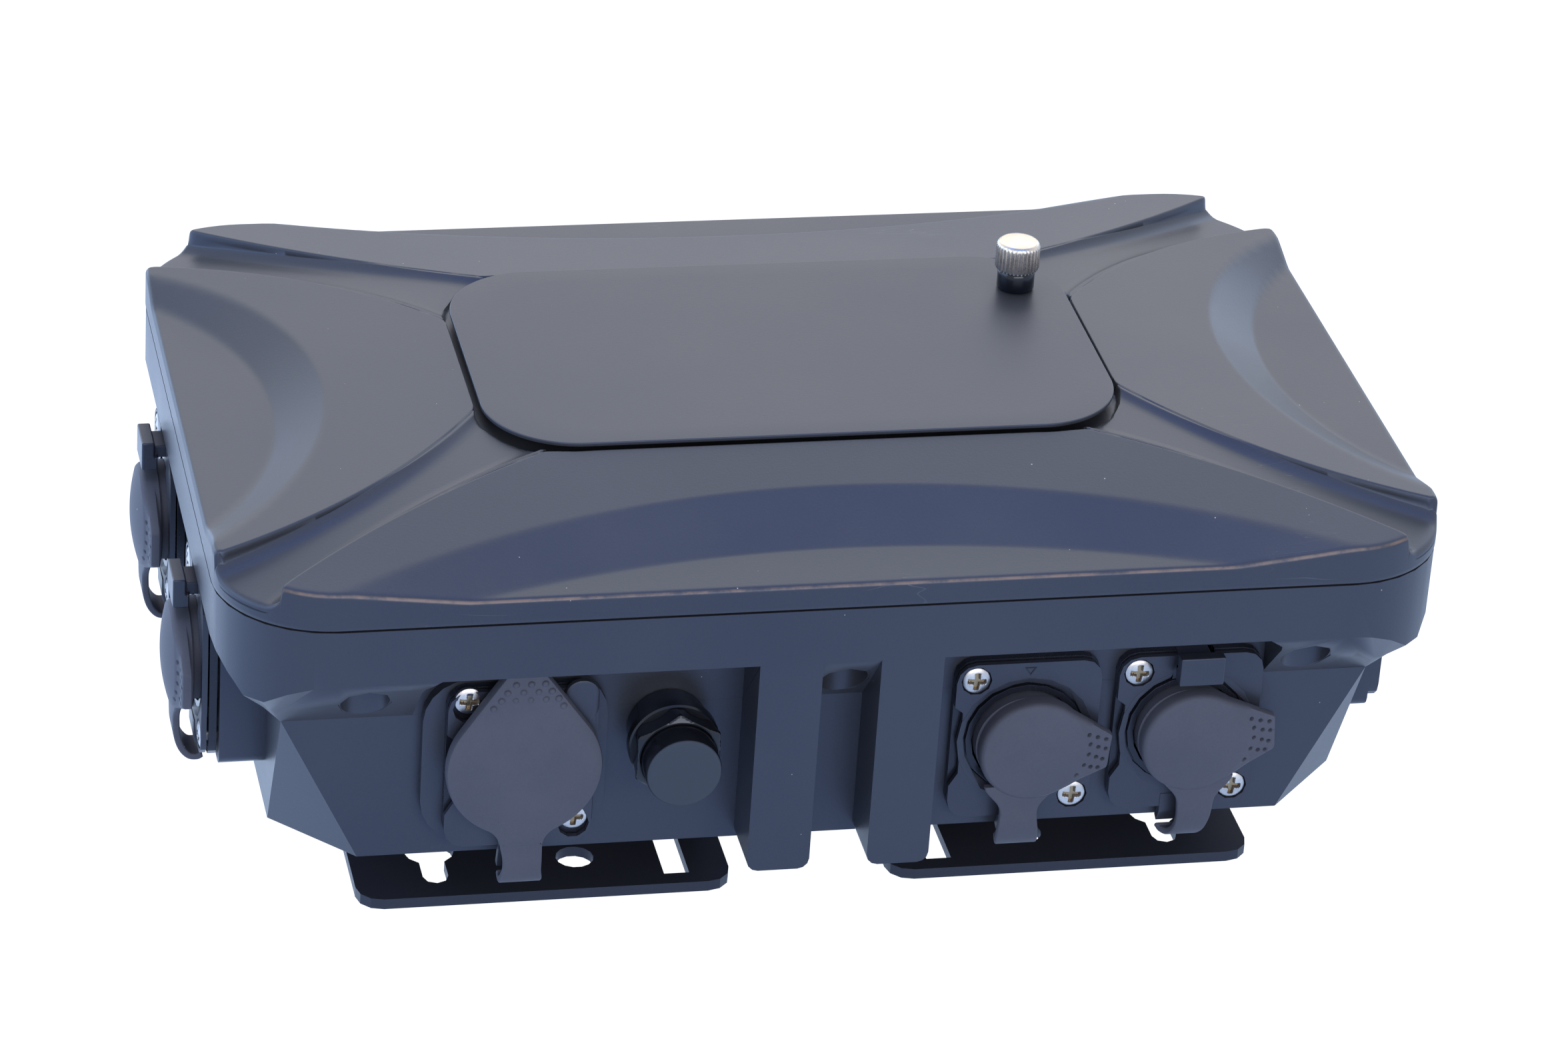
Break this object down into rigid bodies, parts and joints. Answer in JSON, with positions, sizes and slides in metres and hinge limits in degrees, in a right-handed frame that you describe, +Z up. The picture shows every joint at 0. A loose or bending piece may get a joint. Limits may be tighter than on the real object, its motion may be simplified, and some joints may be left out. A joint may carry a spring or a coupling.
{
  "type": "dmx splitter",
  "caption": "Low metal box with flared rim, cover plate with thumbscrew, capped data sockets, capped power inlet, fuse holder and two slotted mounting plates.",
  "frame": {"origin": "middle of the underside of the mounting plates, below the middle of the whole box", "axes": "+Z up through the lid, -Y the front with the inlet, the fuse and two data sockets, -X the side with the other two outputs"},
  "size_m": [0.2196, 0.1452, 0.0895],
  "materials": {
    "housing_paint": "satin dark blue-grey paint with a fine grain, over cast aluminium",
    "plate_paint": "semi-gloss black paint",
    "soft_rubber": "matt dark grey rubber",
    "seal": "matt black rubber",
    "shell": "black, slightly glossy",
    "insert": "black, moulded",
    "screw_steel": "bright zinc plating",
    "nickel": "nickel plating over a knurl",
    "board": "green circuit board",
    "fuse_glass": "clear glass"
  },
  "bodies": {
    "housing": {"blank_plate_1": "housing_paint", "blank_plate_2": "housing_paint", "bracket_left": "plate_paint", "bracket_right": "plate_paint", "bracket_screw_1": "screw_steel", "bracket_screw_2": "screw_steel", "bracket_screw_3": "screw_steel", "bracket_screw_4": "screw_steel", "data_in_frame": "soft_rubber", "data_in_insert": "insert", "data_in_screw_1": "screw_steel", "data_in_screw_2": "screw_steel", "data_in_shell": "shell", "data_out_front_frame": "soft_rubber", "data_out_front_insert": "insert", "data_out_front_screw_1": "screw_steel", "data_out_front_screw_2": "screw_steel", "data_out_front_shell": "shell", "data_out_left_1_frame": "soft_rubber", "data_out_left_1_insert": "insert", "data_out_left_1_screw_1": "screw_steel", "data_out_left_1_screw_2": "screw_steel", "data_out_left_1_shell": "shell", "data_out_left_2_frame": "soft_rubber", "data_out_left_2_insert": "insert", "data_out_left_2_screw_1": "screw_steel", "data_out_left_2_screw_2": "screw_steel", "data_out_left_2_shell": "shell", "fuse_holder": "insert", "fuse_nut": "insert", "housing_base": "housing_paint", "housing_lid": "housing_paint", "lid_gasket": "seal", "lid_screw_1": "screw_steel", "lid_screw_2": "screw_steel", "lid_screw_3": "screw_steel", "lid_screw_4": "screw_steel", "lid_screw_5": "screw_steel", "lid_screw_6": "screw_steel", "main_board": "board", "power_board": "board", "power_frame": "soft_rubber", "power_inlet": "insert", "power_screw_1": "screw_steel", "power_screw_2": "screw_steel", "selector_board": "board"},
    "data_in_cap": {"data_in_cap": "soft_rubber"},
    "data_out_front_cap": {"data_out_front_cap": "soft_rubber"},
    "data_out_left_1_cap": {"data_out_left_1_cap": "soft_rubber"},
    "data_out_left_2_cap": {"data_out_left_2_cap": "soft_rubber"},
    "power_cap": {"power_cap": "soft_rubber"},
    "data_out_front_latch": {"data_out_front_latch": "soft_rubber"},
    "data_out_left_1_latch": {"data_out_left_1_latch": "soft_rubber"},
    "data_out_left_2_latch": {"data_out_left_2_latch": "soft_rubber"},
    "cover": {"cover_plate": "housing_paint"},
    "thumbscrew_collar": {"thumbscrew_collar": "seal"},
    "thumbscrew": {"thumbscrew": "nickel"},
    "fuse_carrier": {"fuse_cartridge": "fuse_glass"},
    "fuse_cap": {"fuse_cap": "insert"}
  },
  "joints": [
    {"name": "data_in_cap_swing", "type": "hinge", "parent": "housing", "child": "data_in_cap", "pos_m": [0.0363, -0.0582, 0.013], "axis": [1, 0, 0], "range_deg": [0, 95]},
    {"name": "data_out_front_cap_swing", "type": "hinge", "parent": "housing", "child": "data_out_front_cap", "pos_m": [0.06545, -0.0582, 0.013], "axis": [1, 0, 0], "range_deg": [0, 95]},
    {"name": "data_out_left_1_cap_swing", "type": "hinge", "parent": "housing", "child": "data_out_left_1_cap", "pos_m": [-0.1042, -0.0226, 0.0183], "axis": [0, -1, 0], "range_deg": [0, 95]},
    {"name": "data_out_left_2_cap_swing", "type": "hinge", "parent": "housing", "child": "data_out_left_2_cap", "pos_m": [-0.1042, 0.0274, 0.0183], "axis": [0, -1, 0], "range_deg": [0, 95]},
    {"name": "power_cap_swing", "type": "hinge", "parent": "housing", "child": "power_cap", "pos_m": [-0.053, -0.0605, 0.0124], "axis": [1, 0, 0], "range_deg": [0, 95]},
    {"name": "data_out_front_latch_push", "type": "slide", "parent": "housing", "child": "data_out_front_latch", "axis": [0, 1, 0], "range_m": [0, 0.001], "stiffness_N_per_m": 1500, "springref_m": -0.0005},
    {"name": "data_out_left_1_latch_push", "type": "slide", "parent": "housing", "child": "data_out_left_1_latch", "axis": [1, 0, 0], "range_m": [0, 0.001], "stiffness_N_per_m": 1500, "springref_m": -0.0005},
    {"name": "data_out_left_2_latch_push", "type": "slide", "parent": "housing", "child": "data_out_left_2_latch", "axis": [1, 0, 0], "range_m": [0, 0.001], "stiffness_N_per_m": 1500, "springref_m": -0.0005},
    {"name": "cover_swing", "type": "hinge", "parent": "housing", "child": "cover", "pos_m": [0.0502, 0.0224, 0.0794], "axis": [0, 0, 1], "range_deg": [0, 100]},
    {"name": "thumbscrew_lift", "type": "slide", "parent": "housing", "child": "thumbscrew_collar", "axis": [0, 0, 1], "range_m": [0, 0.0015]},
    {"name": "thumbscrew_turn", "type": "hinge", "parent": "thumbscrew_collar", "child": "thumbscrew", "pos_m": [0.0502, 0.0224, 0.085], "axis": [0, 0, 1], "range_deg": [0, 1080]},
    {"name": "fuse_lift", "type": "slide", "parent": "housing", "child": "fuse_carrier", "axis": [0, -1, 0], "range_m": [0, 0.005]},
    {"name": "fuse_cap_turn", "type": "hinge", "parent": "fuse_carrier", "child": "fuse_cap", "pos_m": [-0.027, -0.0558, 0.0384], "axis": [0, -1, 0], "range_deg": [0, 1440]}
  ],
  "couplings": [
    {"joint": "thumbscrew_turn", "follows": "thumbscrew_lift", "rad_per_m": 12566},
    {"joint": "fuse_cap_turn", "follows": "fuse_lift", "rad_per_m": 5026.5}
  ]
}
